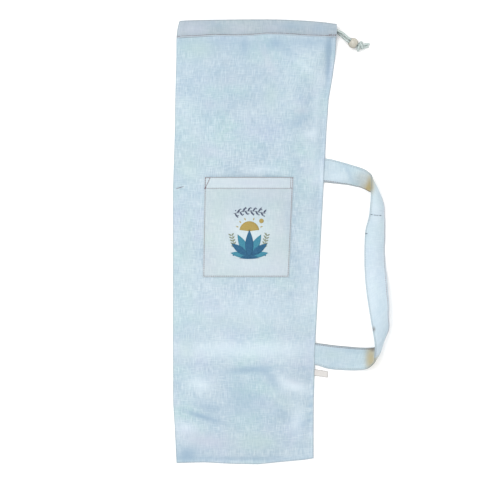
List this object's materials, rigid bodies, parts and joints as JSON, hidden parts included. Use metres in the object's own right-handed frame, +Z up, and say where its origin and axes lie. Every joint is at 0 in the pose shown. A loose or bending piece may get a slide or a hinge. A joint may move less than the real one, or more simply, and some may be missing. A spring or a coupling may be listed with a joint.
{
  "type": "yoga mat bag",
  "caption": "Long soft drawstring bag for a rolled mat, lying empty, with a front pocket, a carrying strap sewn into its side seam and a bead on its cord.",
  "frame": {"origin": "on the surface the bag lies on, under the middle of the box of the bag and its strap, without the free ends of the drawcord", "axes": "+Y along the bag towards its mouth, +X across it towards the sewn side with the strap, +Z up, away from the surface it lies on"},
  "size_m": [0.34, 0.7, 0.0303],
  "materials": {
    "chambray": "washed plain-weave linen and cotton chambray, pale blue with slubs",
    "casing_chambray": "the same chambray, slightly greyer where it is doubled over the cord",
    "pocket_chambray": "the same chambray with a small printed motif in blue and ochre",
    "strap_chambray": "the same chambray, folded flat and topstitched",
    "label_tape": "plain cream woven tape, blank",
    "cotton_cord": "braided cotton cord, pale greenish white",
    "bead_wood": "turned pale wood, satin"
  },
  "bodies": {
    "root": {"bag_body": "chambray", "mouth_casing": "casing_chambray", "pocket_panel": "pocket_chambray", "shoulder_strap": "strap_chambray", "side_label": "label_tape", "drawcord_loop": "cotton_cord", "drawcord_end_upper": "cotton_cord", "drawcord_end_lower": "cotton_cord", "cord_bead": "bead_wood", "cord_knot": "cotton_cord"}
  },
  "joints": []
}
